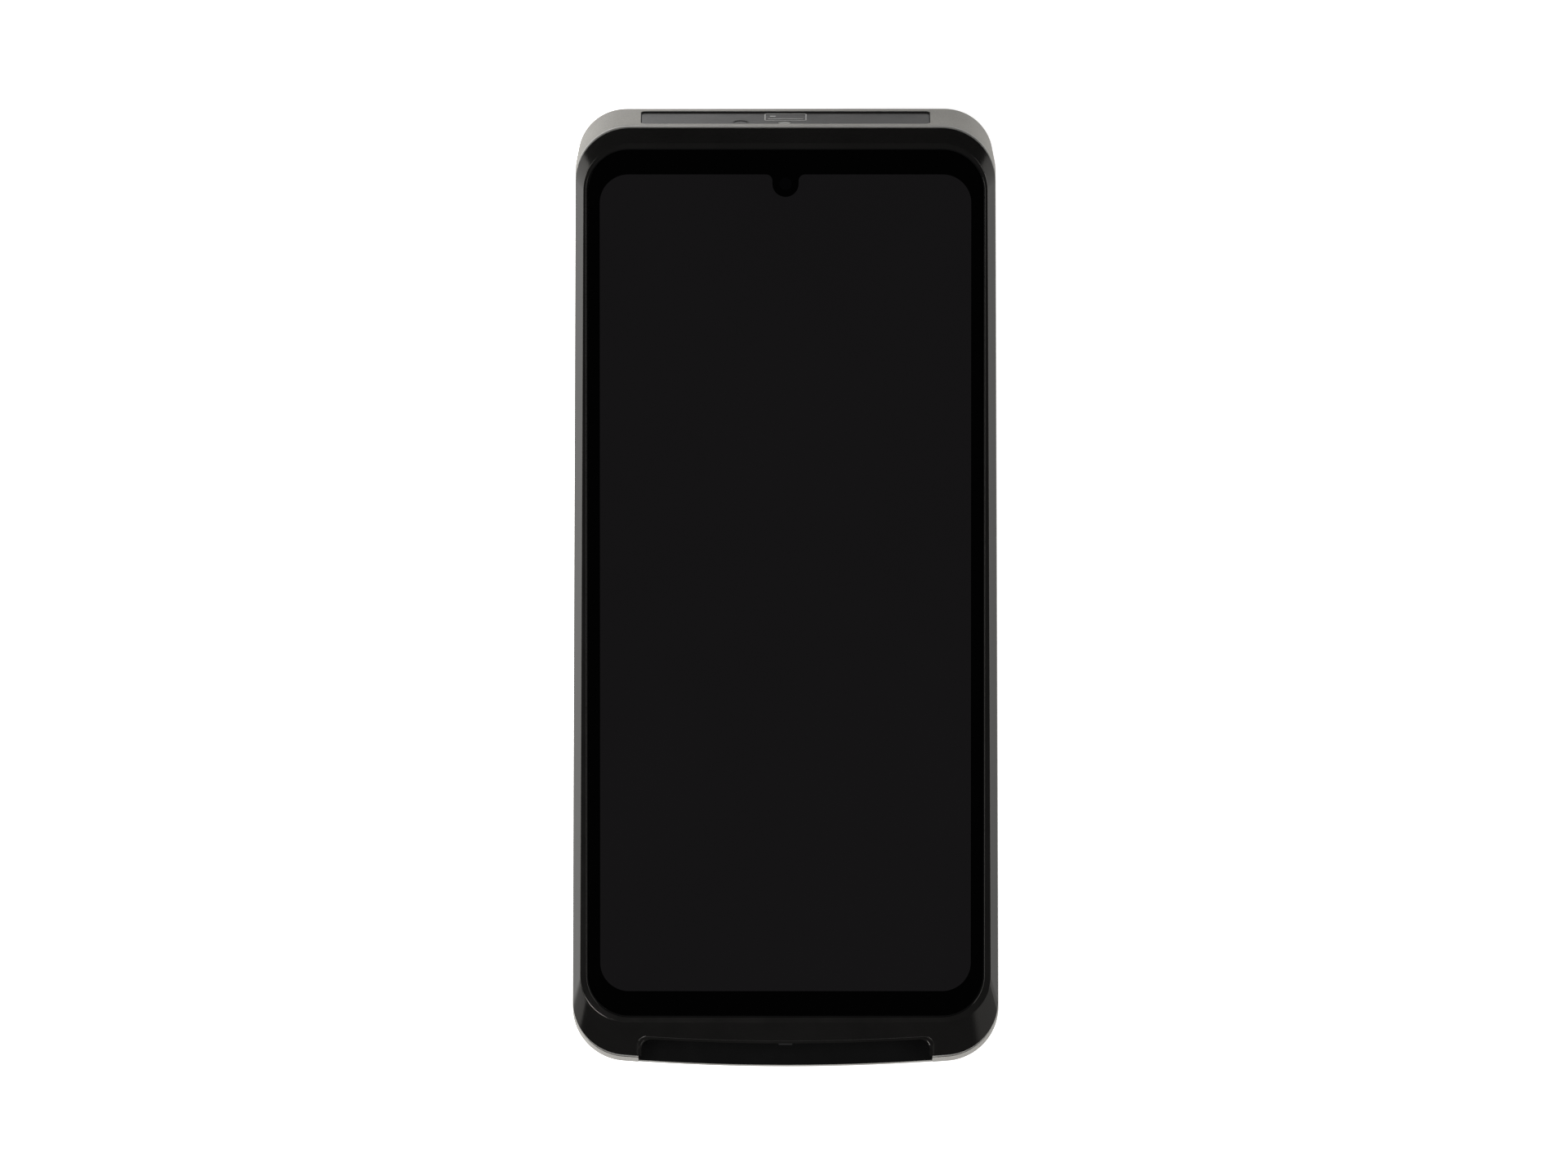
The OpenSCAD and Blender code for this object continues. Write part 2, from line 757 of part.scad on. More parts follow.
module speaker_mesh() {
    color([0.3, 0.3, 0.3]) slab(9.4, 5.4, 0.6, back_wall, back_wall + 0.25, speaker_place);
}

module microphone() {
    color([0.75, 0.65, 0.4]) box([-36.8, -67.5, 6], [-34.6, -64.5, 8.4]);
}

module vibration_motor() {
    x0 = motor_place[0];
    y = motor_place[1];
    z = motor_place[2];
    color([0.75, 0.75, 0.75]) difference() {
        union() {
            rod_x(x0, x0 + 8, y, z, 2.2);
            box([x0 + 0.5, y - 2.2, back_wall], [x0 + 7.5, y + 2.2, z]);
        }
        rod_x(x0 + 6, x0 + 9, y, z, 0.5);
    }
}

// Half disc that spins on the motor's shaft
module vibration_weight() {
    x0 = motor_place[0];
    y = motor_place[1];
    z = motor_place[2];
    color([0.5, 0.5, 0.52]) {
        rod_x(x0 + 6.5, x0 + 12.6, y, z, 0.4);
        difference() {
            rod_x(x0 + 8.6, x0 + 12.4, y, z, 2.4);
            box([x0 + 8, y - 3, z + 0.6], [x0 + 13, y + 3, z + 4]);
            rod_x(x0 + 8, x0 + 13, y, z, 0.4);
        }
    }
}

// ---- fasteners ----

// Screw with its head down, at the back, and a cross recess
module screw(at, head_r, head_z, head_h, shank_r, top) {
    difference() {
        union() {
            disc(at, head_r, head_z, head_z + head_h);
            disc(at, shank_r, head_z + head_h, top);
        }
        for (a = [0, 90]) translate([at[0], at[1], head_z - 0.1]) rotate([0, 0, a])
            box([-head_r * 0.6, -head_r * 0.13, 0], [head_r * 0.6, head_r * 0.13, 0.6]);
    }
}

module housing_screws() {
    color([0.4, 0.4, 0.42])
        for (p = housing_screw_places) screw(p, 1.9, 1.4, 1.8, 1, z_plate + 0.7);
}

module cover_screws() {
    color([0.4, 0.4, 0.42])
        for (p = cover_screw_places) screw(p, 1.5, 0.12, 0.68, 0.8, 4.6);
}

module board_screws() {
    z0 = z_board + board_thickness;
    color([0.4, 0.4, 0.42]) for (p = board_screw_places) {
        translate([p[0], p[1], z0 + 0.9]) mirror([0, 0, 1])
            screw([0, 0], 1.6, 0, 0.9, 0.8, z0 + 0.9 - 4.6);
    }
}

front_frame();
mid_frame();
rear_housing();
rear_cover();
frame_gasket();
housing_gasket();
cover_glass();
glass_surround();
glass_adhesive();
display_panel();
display_cell();
backlight();
front_camera();
front_camera_lens();
top_window();
window_seal();
tap_symbol();
scan_engine();
scan_lens();
scan_led();
nfc_antenna();
nfc_ferrite();
card_guide();
card_reader();
card_contacts();
card_switch();
card_plunger();
main_board();
processor_chips();
rf_shields();
secure_board();
secure_module();
board_flex();
battery();
battery_lead();
battery_connector();
power_key();
volume_key();
scan_key_left();
scan_key_right();
side_switches();
key_flex();
sim_tray();
sim_socket();
usb_port();
charge_contacts();
contact_block();
rear_camera();
rear_camera_lens();
flash_led();
camera_window();
loudspeaker();
speaker_mesh();
microphone();
vibration_motor();
vibration_weight();
housing_screws();
board_screws();
cover_screws();
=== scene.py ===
"""Looks of a handheld payment terminal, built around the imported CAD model.

The terminal lies on its back: +Z comes out of the screen, +Y points to the top end with the scan
window, +X is to the right. Sizes and places of pieces are in millimetres, and a mesh is scaled to
metres when its piece is made. The camera, the lights and the floor are placed in metres.
"""

import json
import math

import bmesh
import bpy
from mathutils import Matrix, Vector
from mathutils.geometry import tessellate_polygon

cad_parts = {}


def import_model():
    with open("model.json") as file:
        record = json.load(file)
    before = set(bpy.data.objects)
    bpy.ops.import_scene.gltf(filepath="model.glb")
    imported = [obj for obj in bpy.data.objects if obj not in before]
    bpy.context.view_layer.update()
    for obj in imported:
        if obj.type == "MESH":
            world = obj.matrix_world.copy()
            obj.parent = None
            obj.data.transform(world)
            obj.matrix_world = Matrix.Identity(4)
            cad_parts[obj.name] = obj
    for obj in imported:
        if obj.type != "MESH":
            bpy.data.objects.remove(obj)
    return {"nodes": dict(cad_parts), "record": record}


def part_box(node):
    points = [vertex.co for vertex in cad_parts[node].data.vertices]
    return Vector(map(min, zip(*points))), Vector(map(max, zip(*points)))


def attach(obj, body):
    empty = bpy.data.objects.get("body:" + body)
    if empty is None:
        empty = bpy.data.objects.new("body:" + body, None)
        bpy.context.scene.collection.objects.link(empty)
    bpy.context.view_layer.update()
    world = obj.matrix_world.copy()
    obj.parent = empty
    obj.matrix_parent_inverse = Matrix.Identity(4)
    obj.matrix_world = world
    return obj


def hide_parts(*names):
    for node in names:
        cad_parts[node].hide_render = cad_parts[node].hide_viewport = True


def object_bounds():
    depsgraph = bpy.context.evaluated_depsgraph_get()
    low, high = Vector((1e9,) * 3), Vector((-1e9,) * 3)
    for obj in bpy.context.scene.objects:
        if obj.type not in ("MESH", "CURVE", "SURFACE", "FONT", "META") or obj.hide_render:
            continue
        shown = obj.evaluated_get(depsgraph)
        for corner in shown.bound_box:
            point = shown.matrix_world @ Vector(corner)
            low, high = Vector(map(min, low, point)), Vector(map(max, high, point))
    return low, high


MM = 0.001
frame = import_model()
cad_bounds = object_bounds()
CAD_HIGH = cad_bounds[1] / MM


def node_box(node):
    """Lowest and highest corner of a CAD node, in millimetres."""
    low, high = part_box(node)
    return low / MM, high / MM


# ---- sizes ----

# The body's outline, in plan
Y_END = CAD_HIGH.y
DEPTH = CAD_HIGH.z
HALF_BOTTOM = CAD_HIGH.x
HALF_TOP = 39.35
BOW = 400
BOTTOM_CORNER = 10.3
SIDE_WALL, BACK_WALL = 2.3, 2.0

# Heights from the back: the housing, the ring, the front frame, and what stands between them
Z_EDGE, Z_BULGE, Z_ABOVE, Z_RIM = 3.0, 10.8, 12.0, 14.2
Z_RING = (14.4, 15.45)
Z_FRAME, Z_LEDGE = 15.6, 16.4
Z_PLATE = 13.0
Z_SLOT, LIP_THICKNESS = 11.3, 0.7
GROOVE_DEPTH = 0.4
Z_KEY = 8.6

Y_RIM_TOP, Y_RIM_BOTTOM = Y_END - 1.37, 1.27 - Y_END
Y_RING_TOP, Y_RING_BOTTOM = Y_END - 1.38, 1.8 - Y_END
Y_FRAME_TOP, Y_FRAME_BOTTOM = Y_END - 1.68, 2.02 - Y_END
Y_LAND_TOP, Y_LAND_BOTTOM = Y_END - 4.16, 9.58 - Y_END
TOP_SLOPE = math.atan((Y_END - Y_RIM_TOP) / (Z_RIM - Z_EDGE))

GLASS_LOW, GLASS_HIGH = node_box("cover_glass")
PANEL_LOW, PANEL_HIGH = node_box("display_panel")
GLASS_TRIM, DISPLAY_TRIM = 0.22, 0.13  # how much narrower each looks at its sides
WINDOW_HALF, WINDOW_LENGTH = 27.1, 8.8
WINDOW_MIDDLE = (0, -1 - WINDOW_LENGTH / 2)
SLOT_HALF, SCOOP_DEPTH = 27.6, 5.97
SCOOP_CORNER = 1.9
NOTCH_RADIUS = 2.45
Y_NOTCH = PANEL_HIGH.y - 1.8

HOUSING_SCREWS = [(s * x, y) for s in (-1, 1) for x, y in ((34, 68), (34, 4), (33.2, -72))]
BOARD_SCREWS = [(s * 28.3, y) for s in (-1, 1) for y in (64, -29)]
COVER_SCREWS = [(-24, -41.2), (24, -41.2)]
CHARGE_PADS = [(7 * i, -78) for i in (-1.5, -0.5, 0.5, 1.5)]
REAR_CAMERA, FLASH, SPEAKER = (-24.5, 76), (-13.5, 76), (18, 76)
PORT_Y, PORT_Z, TRAY_Z = -48, 7.1, 7.2
MICROPHONE_Y, MICROPHONE_Z = -66, 7.2
CAMERA_PLATE = (-19, 76)
COVER_MIDDLE = (0, 2)
LENS_X, LED_X, SCAN_Z = -8.4, -0.2, 11.3
LENS_RADIUS, LED_RADIUS = 1.5, 1.2

# Name, side, place along the wall, length, depth of the flange inside, and finish
KEYS = [("power_key", 1, 50, 12, 0.85, "key_black"),
        ("volume_key", -1, 50, 20, 0.6, "key_black"),
        ("scan_key_left", -1, 24, 20, 0.85, "key_orange"),
        ("scan_key_right", 1, 24, 20, 0.85, "key_orange")]
KEY_HEIGHT, KEY_FACE, KEY_FLANGE = 3.2, HALF_TOP - 0.04, 36.1

CORNER_STEPS, SLAB_CORNER_STEPS = 24, 12
BOW_STEPS, ROUND_STEPS = 36, 48
BEAD_SIDES = 24


# ---- outlines ----

def arc(cx, cy, r, a0, a1, steps):
    """Points on a circle from angle a0 to a1 in degrees, both ends included."""
    angles = [math.radians(a0 + (a1 - a0) * i / steps) for i in range(steps + 1)]
    return [(cx + r * math.cos(a), cy + r * math.sin(a)) for a in angles]


def outline(half_top, half_bottom, y_top, y_bottom, r_top, r_bottom, bow=BOW):
    """The body's outline: rounded corners and a bowed bottom edge, anticlockwise."""
    cx = half_bottom - r_bottom
    a = math.degrees(math.asin(cx / (bow - r_bottom)))
    cy = y_bottom + bow - (bow - r_bottom) * math.cos(math.radians(a))
    return (
        arc(-cx, cy, r_bottom, 180, 270 - a, CORNER_STEPS)
        + arc(0, y_bottom + bow, bow, 270 - a, 270 + a, BOW_STEPS)[1:-1]
        + arc(cx, cy, r_bottom, 270 + a, 360, CORNER_STEPS)
        + arc(half_top - r_top, y_top - r_top, r_top, 0, 90, CORNER_STEPS)
        + arc(r_top - half_top, y_top - r_top, r_top, 90, 180, CORNER_STEPS)
    )


def body_outline(inset, y_top, y_bottom, r_top=10):
    return outline(HALF_TOP - inset, HALF_BOTTOM - inset, y_top, y_bottom, r_top,
                   BOTTOM_CORNER - inset, BOW - inset)


def screen_outline(grow):
    half = GLASS_HIGH.x - GLASS_TRIM + grow
    return outline(half, half, GLASS_HIGH.y + grow, GLASS_LOW.y - grow, 7.6 + grow, 7.6 + grow,
                   20000)


def rounded_rect(half_x, half_y, r, at=(0, 0)):
    x, y = at
    return (
        arc(x + half_x - r, y + half_y - r, r, 0, 90, SLAB_CORNER_STEPS)
        + arc(x + r - half_x, y + half_y - r, r, 90, 180, SLAB_CORNER_STEPS)
        + arc(x + r - half_x, y + r - half_y, r, 180, 270, SLAB_CORNER_STEPS)
        + arc(x + half_x - r, y + r - half_y, r, 270, 360, SLAB_CORNER_STEPS)
    )


def circle(at, r, steps=ROUND_STEPS):
    return arc(at[0], at[1], r, 0, 360 * (steps - 1) / steps, steps - 1)


def mixed(a, b, share):
    """Outline between two outlines with matching points."""
    return [(p[0] + (q[0] - p[0]) * share, p[1] + (q[1] - p[1]) * share) for p, q in zip(a, b)]


# ---- solids, as bmeshes in millimetres ----

def skin(rings, closed=False):
    """Solid through [(outline, z)] rings, capped at both ends, or joined end to end."""
    bm = bmesh.new()
    rows = [[bm.verts.new((x, y, z)) for x, y in points] for points, z in rings]
    n = len(rows[0])
    pairs = list(zip(rows, rows[1:])) + ([(rows[-1], rows[0])] if closed else [])
    for low, high in pairs:
        for i in range(n):
            j = (i + 1) % n
            bm.faces.new((low[i], low[j], high[j], high[i]))
    if not closed:
        bm.faces.new(rows[0][::-1])
        bm.faces.new(rows[-1])
    bmesh.ops.recalc_face_normals(bm, faces=bm.faces)
    return bm


def prism(points, z0, z1):
    return skin([(points, z0), (points, z1)])


def box(low, high):
    corners = [(low[0], low[1]), (high[0], low[1]), (high[0], high[1]), (low[0], high[1])]
    return prism(corners, low[2], high[2])


def disc(at, r, z0, z1):
    return prism(circle(at, r), z0, z1)


def turned(at, rings):
    """Round solid through (radius, z) rings."""
    return skin([(circle(at, r), z) for r, z in rings])


def placed(bm, matrix):
    bmesh.ops.transform(bm, matrix=matrix, verts=bm.verts)
    bmesh.ops.recalc_face_normals(bm, faces=bm.faces)
    return bm


def pillow(points_at, depths):
    """Solid whose outline is points_at(inset) at each (inset, z) of depths."""
    return skin([(points_at(inset), z) for inset, z in depths])


def rounded_depths(z0, z1, r0, r1, steps=4):
    """(inset, z) steps from z0 to z1 with edge radius r0 at z0 and r1 at z1."""
    quarter = [math.pi / 2 * i / steps for i in range(steps + 1)]
    first, last = [(0, z0)], [(0, z1)]
    if r0:
        first = [(r0 * (1 - math.sin(t)), z0 + r0 * (1 - math.cos(t))) for t in quarter]
    if r1:
        last = [(r1 * (1 - math.cos(t)), z1 - r1 * (1 - math.sin(t))) for t in quarter]
    return first + last


def rounded_slab(half_x, half_y, r, z0, z1, at=(0, 0), r0=0.0, r1=0.0):
    return pillow(
        lambda inset: rounded_rect(half_x - inset, half_y - inset, max(r - inset, 0.05), at),
        rounded_depths(z0, z1, r0, r1))


def wall_frame(side, y, z):
    """x runs along the body, y up, and z out of the right (side 1) or left wall."""
    turn = Matrix(((0, 0, side, 0), (side, 0, 0, 0), (0, 1, 0, 0), (0, 0, 0, 1)))
    return Matrix.Translation((0, y, z)) @ turn


def top_frame():
    """x across, y up the sloped top face from its front rim, z out of the face."""
    upright = Matrix(((1, 0, 0, 0), (0, 0, 1, 0), (0, 1, 0, 0), (0, 0, 0, 1)))
    tilted = Matrix.Rotation(TOP_SLOPE, 4, "X")
    return Matrix.Translation((0, Y_RIM_TOP, Z_RIM)) @ tilted @ upright


# ---- the scoop and its rolled edges ----

def scoop_outline(grow):
    """The bay in the bottom end that the card and the thumb reach into, anticlockwise."""
    half, r, upper = SLOT_HALF + grow, SCOOP_CORNER, SCOOP_DEPTH - Y_END + grow
    bow = BOW - SCOOP_DEPTH
    a = math.degrees(math.asin((half - r) / (bow + r)))
    y_corner = upper + bow - (bow + r) * math.cos(math.radians(a))
    return (
        [(-half, -Y_END - 2), (half, -Y_END - 2)]
        + arc(half - r, y_corner, r, 0, 90 - a, 10)
        + arc(0, upper + bow, bow, 270 + a, 270 - a, 30)[1:-1]
        + arc(r - half, y_corner, r, 90 + a, 180, 10)
    )


def scoop(grow, z0, z1):
    return prism(scoop_outline(grow), z0, z1)


def bead(path, r):
    """Round rod along an open path of points."""
    bm = bmesh.new()
    rows = []
    for i, p in enumerate(path):
        ahead = (path[min(i + 1, len(path) - 1)] - path[max(i - 1, 0)]).normalized()
        across = ahead.cross(Vector((0, 0, 1))).normalized()
        up = across.cross(ahead)
        turns = [2 * math.pi * k / BEAD_SIDES for k in range(BEAD_SIDES)]
        rows.append([bm.verts.new(p + (across * math.cos(t) + up * math.sin(t)) * r)
                     for t in turns])
    for low, high in zip(rows, rows[1:]):
        for k in range(BEAD_SIDES):
            j = (k + 1) % BEAD_SIDES
            bm.faces.new((low[k], low[j], high[j], high[k]))
    bm.faces.new(rows[0])
    bm.faces.new(rows[-1][::-1])
    bmesh.ops.recalc_face_normals(bm, faces=bm.faces)
    return bm


# ---- working on solids ----

def as_object(bm, name="work"):
    mesh = bpy.data.meshes.new(name)
    bm.to_mesh(mesh)
    bm.free()
    obj = bpy.data.objects.new(name, mesh)
    bpy.context.scene.collection.objects.link(obj)
    return obj


def joined(parts):
    """One bmesh that holds several solids that don't touch."""
    bm = bmesh.new()
    for part in parts:
        mesh = bpy.data.meshes.new("part")
        part.to_mesh(mesh)
        part.free()
        bm.from_mesh(mesh)
        bpy.data.meshes.remove(mesh)
    return bm


def combine(bm, others, operation):
    """Boolean of a solid with each of the others in turn."""
    work = as_object(bm)
    tools = [as_object(other) for other in others]
    for tool in tools:
        modifier = work.modifiers.new("cut", "BOOLEAN")
        modifier.object, modifier.operation, modifier.solver = tool, operation, "EXACT"
    evaluated = work.evaluated_get(bpy.context.evaluated_depsgraph_get())
    mesh = bpy.data.meshes.new_from_object(evaluated)
    result = bmesh.new()
    result.from_mesh(mesh)
    for obj in [work] + tools:
        data = obj.data
        bpy.data.objects.remove(obj)
        bpy.data.meshes.remove(data)
    bpy.data.meshes.remove(mesh)
    bmesh.ops.remove_doubles(result, verts=result.verts, dist=0.002)
    return result


def cut(bm, *others):
    return combine(bm, others, "DIFFERENCE")


def fused(bm, *others):
    return combine(bm, others, "UNION")


def piece(name, bm, material, replaces=None, body="root", sharp=32):
    """Shown piece of the terminal, from a solid in millimetres; sharp is in degrees."""
    bmesh.ops.recalc_face_normals(bm, faces=bm.faces)
    bmesh.ops.scale(bm, vec=(MM, MM, MM), verts=bm.verts)
    obj = as_object(bm, name)
    for each in material if isinstance(material, list) else [material]:
        obj.data.materials.append(each)
    obj.data.shade_smooth()
    obj.data.set_sharp_from_angle(angle=math.radians(sharp))
    weighted = obj.modifiers.new("even normals", "WEIGHTED_NORMAL")
    weighted.keep_sharp = True
    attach(obj, body)
    if replaces:
        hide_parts(replaces)


# ---- materials ----

def linear(colour):
    """Linear colour of an sRGB colour from 0 to 255."""
    c = [v / 255 for v in colour]
    return [v / 12.92 if v <= 0.04045 else ((v + 0.055) / 1.055) ** 2.4 for v in c]


FLAKE_MM = 0.16


def smooth_step(nodes, links, source, start, end, low, high):
    """Output that goes softly from low to high while the source goes from start to end."""
    node = nodes.new("ShaderNodeMapRange")
    node.interpolation_type = "SMOOTHSTEP"
    for name, value in (("From Min", start), ("From Max", end), ("To Min", low),
                        ("To Max", high)):
        node.inputs[name].default_value = value
    links.new(source, node.inputs["Value"])
    return node.outputs["Result"]


def finish(name, colour, rough, metal=0.0, mottle=0.06, mottle_mm=9.0, grain=0.0, grain_mm=0.25,
           rough_vary=0.04, ior=1.5, coat=0.0, coat_rough=0.05, stretch=(1, 1, 1), flake=0.0,
           shine=0.5, shine_tint=(1, 1, 1)):
    """Procedural surface: slow colour and gloss variation, and a fine bumped grain."""
    material = bpy.data.materials.new(name)
    material.use_nodes = True
    nodes, links = material.node_tree.nodes, material.node_tree.links
    shader = nodes["Principled BSDF"]
    shader.inputs["Metallic"].default_value = metal
    shader.inputs["IOR"].default_value = ior
    shader.inputs["Specular IOR Level"].default_value = shine
    shader.inputs["Specular Tint"].default_value = (*shine_tint, 1)
    shader.inputs["Coat Weight"].default_value = coat
    shader.inputs["Coat Roughness"].default_value = coat_rough

    coords = nodes.new("ShaderNodeTexCoord")
    mapping = nodes.new("ShaderNodeMapping")
    mapping.inputs["Scale"].default_value = stretch
    links.new(coords.outputs["Object"], mapping.inputs["Vector"])

    def noise(size_mm, detail, roughness=0.5):
        n = nodes.new("ShaderNodeTexNoise")
        n.inputs["Scale"].default_value = 1 / (size_mm * MM)
        n.inputs["Detail"].default_value = detail
        n.inputs["Roughness"].default_value = roughness
        links.new(mapping.outputs["Vector"], n.inputs["Vector"])
        return n

    def ramp(source, low, high, at=(0.3, 0.7)):
        r = nodes.new("ShaderNodeValToRGB")
        for element, place, value in zip(r.color_ramp.elements, at, (low, high)):
            element.position = place
            element.color = (*value, 1)
        links.new(source, r.inputs["Fac"])
        return r

    base = linear(colour)
    slow = noise(mottle_mm, 4)
    tint = ramp(slow.outputs["Fac"], [v * (1 - mottle) for v in base],
                [v * (1 + mottle) for v in base])
    colour_out = tint.outputs["Color"]
    if flake:
        fine = noise(FLAKE_MM, 1)
        spark = ramp(fine.outputs["Fac"], [1 - flake] * 3, [1 + flake] * 3, (0.35, 0.65))
        mix = nodes.new("ShaderNodeMix")
        mix.data_type, mix.blend_type = "RGBA", "MULTIPLY"
        mix.inputs["Factor"].default_value = 1.0
        links.new(colour_out, mix.inputs["A"])
        links.new(spark.outputs["Color"], mix.inputs["B"])
        colour_out = mix.outputs["Result"]
    links.new(colour_out, shader.inputs["Base Color"])

    gloss = noise(mottle_mm * 0.6, 3, 0.6)
    spread = nodes.new("ShaderNodeMapRange")
    spread.inputs["From Min"].default_value = 0.3
    spread.inputs["From Max"].default_value = 0.7
    spread.inputs["To Min"].default_value = max(rough - rough_vary, 0.0)
    spread.inputs["To Max"].default_value = rough + rough_vary
    links.new(gloss.outputs["Fac"], spread.inputs["Value"])
    links.new(spread.outputs["Result"], shader.inputs["Roughness"])

    if grain:
        fine = noise(grain_mm, 2)
        bump = nodes.new("ShaderNodeBump")
        bump.inputs["Strength"].default_value = grain
        bump.inputs["Distance"].default_value = grain_mm * 0.12 * MM
        links.new(fine.outputs["Fac"], bump.inputs["Height"])
        links.new(bump.outputs["Normal"], shader.inputs["Normal"])
    return material


FINISHES = {
    "front_frame": finish("frame_black", (16, 15.6, 15.2), 0.12, ior=1.37, grain=0.04,
                          grain_mm=0.6, mottle=0.1, rough_vary=0.02, shine_tint=(1, 0.965, 0.91)),
    "metal_ring": finish("ring_satin", (122, 121, 118), 0.35, metal=0.2, ior=1.2, grain=0.15,
                         grain_mm=0.12, stretch=(1, 1, 4)),
    "housing_paint": finish("housing_paint", (150, 148, 144), 0.5, mottle=0.03,
                            grain=0.25, grain_mm=0.2, flake=0.1, ior=1.1, shine=0.0),
    "cover_texture": finish("cover_texture", (42, 42, 43), 0.55, grain=0.9, grain_mm=0.45,
                            mottle=0.08),
    "foam": finish("foam", (8, 8, 8), 0.95, grain=0.8, grain_mm=0.3),
    "screen_glass": finish("screen_glass", (0.3, 0.3, 0.3), 0.03, ior=1.5, mottle=0.2,
                           rough_vary=0.015, mottle_mm=30),
    "display": finish("display", (16.8, 16, 16.8), 0.03, ior=1.5, mottle=0.03, rough_vary=0.015,
                      mottle_mm=30),
    "panel_glass": finish("panel_glass", (70, 74, 78), 0.1, ior=1.5),
    "white_film": finish("white_film", (228, 228, 224), 0.6, grain=0.2),
    "black_plastic": finish("black_plastic", (11, 11, 11), 0.1, ior=1.25, rough_vary=0.02,
                            grain=0.3, grain_mm=0.25),
    "lens_glass": finish("lens_glass", (8, 8, 14), 0.04, ior=1.7, coat=0.5, coat_rough=0.02),
    "camera_eye": finish("camera_eye", (1.5, 1.5, 2), 0.02, ior=1.6),
    "tinted_window": finish("tinted_window", (40, 39, 39), 0.2, ior=1.09, grain=0.05,
                            grain_mm=0.5),
    "lamp_resin": finish("lamp_resin", (96, 95, 92), 0.3, ior=1.3),
    "print_white": finish("print_white", (150, 150, 148), 0.5, ior=1.2, grain=0.2, grain_mm=0.15),
    "led": finish("led", (235, 228, 205), 0.3, mottle=0.08, mottle_mm=0.8),
    "copper": finish("copper", (205, 130, 85), 0.28, metal=1.0, grain=0.2),
    "ferrite": finish("ferrite", (52, 48, 46), 0.6, grain=0.4),
    "gold_contact": finish("gold_contact", (225, 178, 92), 0.24, metal=1.0, grain=0.25,
                           grain_mm=0.15),
    "board_green": finish("board_green", (16, 84, 46), 0.35, mottle=0.2, mottle_mm=3, grain=0.2),
    "board_blue": finish("board_blue", (16, 58, 96), 0.35, mottle=0.2, mottle_mm=3, grain=0.2),
    "chip_epoxy": finish("chip_epoxy", (34, 34, 36), 0.55, grain=0.5, grain_mm=0.2),
    "tin_steel": finish("tin_steel", (196, 197, 195), 0.3, metal=1.0, grain=0.2, grain_mm=0.3,
                        stretch=(1, 6, 1)),
    "flex_amber": finish("flex_amber", (170, 104, 30), 0.3, mottle=0.12, grain=0.1),
    "battery_wrap": finish("battery_wrap", (56, 57, 60), 0.4, grain=0.3),
    "key_black": finish("key_black", (24, 24, 25), 0.42, grain=0.5, grain_mm=0.22),
    "key_orange": finish("key_orange", (208, 104, 34), 0.42, grain=0.5, grain_mm=0.22),
    "screw_steel": finish("screw_steel", (104, 104, 107), 0.34, metal=1.0, grain=0.3,
                          grain_mm=0.12),
    "motor_steel": finish("motor_steel", (190, 191, 190), 0.25, metal=1.0, grain=0.2,
                          stretch=(5, 1, 1)),
    "speaker_cloth": finish("speaker_cloth", (22, 22, 23), 0.8, grain=1.0, grain_mm=0.2),
}

for part in frame["record"]["subparts"]:
    for material_slot in frame["nodes"][part["node"]].material_slots:
        material_slot.material = FINISHES[part["material_slot"]]


# ---- screen ----

def display_outline():
    """The lit area, with the rounded notch at its top edge."""
    x, y_low, y_top = PANEL_HIGH.x - DISPLAY_TRIM, PANEL_LOW.y, PANEL_HIGH.y
    r, notch, fillet = 5.4, NOTCH_RADIUS, 1.2
    return (
        arc(x - r, y_top - r, r, 0, 90, CORNER_STEPS)
        + arc(notch + fillet, y_top - fillet, fillet, 90, 180, 8)
        + arc(0, Y_NOTCH, notch, 0, -180, 24)
        + arc(-notch - fillet, y_top - fillet, fillet, 0, 90, 8)
        + arc(r - x, y_top - r, r, 90, 180, CORNER_STEPS)
        + arc(r - x, y_low + r, r, 180, 270, CORNER_STEPS)
        + arc(x - r, y_low + r, r, 270, 360, CORNER_STEPS)
    )


def fill_flat(bm, loops, z, material_index):
    """Flat face with holes, as triangles: the first loop is the outside."""
    points = [p for loop in loops for p in loop]
    verts = [bm.verts.new((x, y, z)) for x, y in points]
    for triangle in tessellate_polygon([[Vector((x, y, 0)) for x, y in loop] for loop in loops]):
        face = bm.faces.new([verts[i] for i in triangle])
        face.normal_update()
        if face.normal.z < 0:
            face.normal_flip()
        face.material_index = material_index


def cover_glass():
    """Glass sheet whose top is split into the black border, the lit area and the camera's eye."""
    z_top = GLASS_HIGH.z
    depths = rounded_depths(GLASS_LOW.z, z_top, 0.05, 0)
    bm = skin([(screen_outline(-inset), z) for inset, z in depths])
    top = max(bm.faces, key=lambda f: f.calc_center_median().z)
    bmesh.ops.delete(bm, geom=[top], context="FACES_ONLY")
    lit = display_outline()
    eye = circle((0, Y_NOTCH), 1.15, 32)
    fill_flat(bm, [screen_outline(0), lit, eye], z_top, 0)
    fill_flat(bm, [lit], z_top, 1)
    fill_flat(bm, [eye], z_top, 2)
    bmesh.ops.remove_doubles(bm, verts=bm.verts, dist=0.0005)
    return bm


glass_materials = [FINISHES["screen_glass"], FINISHES["display"], FINISHES["camera_eye"]]
piece("cover_glass_sheet", cover_glass(), glass_materials, "cover_glass")


def glass_surround():
    """Thin rim round the glass, with an open gap between the two."""
    low, high = node_box("glass_surround")
    inner, gap, outer = 0.05, 0.2, 0.43
    z_gap, z_top = high.z - 0.9, high.z - 0.04
    return skin([(screen_outline(grow), z) for grow, z in (
        (outer, low.z), (outer, z_top - 0.02), (outer - 0.03, z_top), (gap, z_top),
        (gap, z_gap), (inner, z_gap), (inner, low.z))], closed=True)


piece("screen_surround", glass_surround(), FINISHES["black_plastic"],
      "glass_surround")


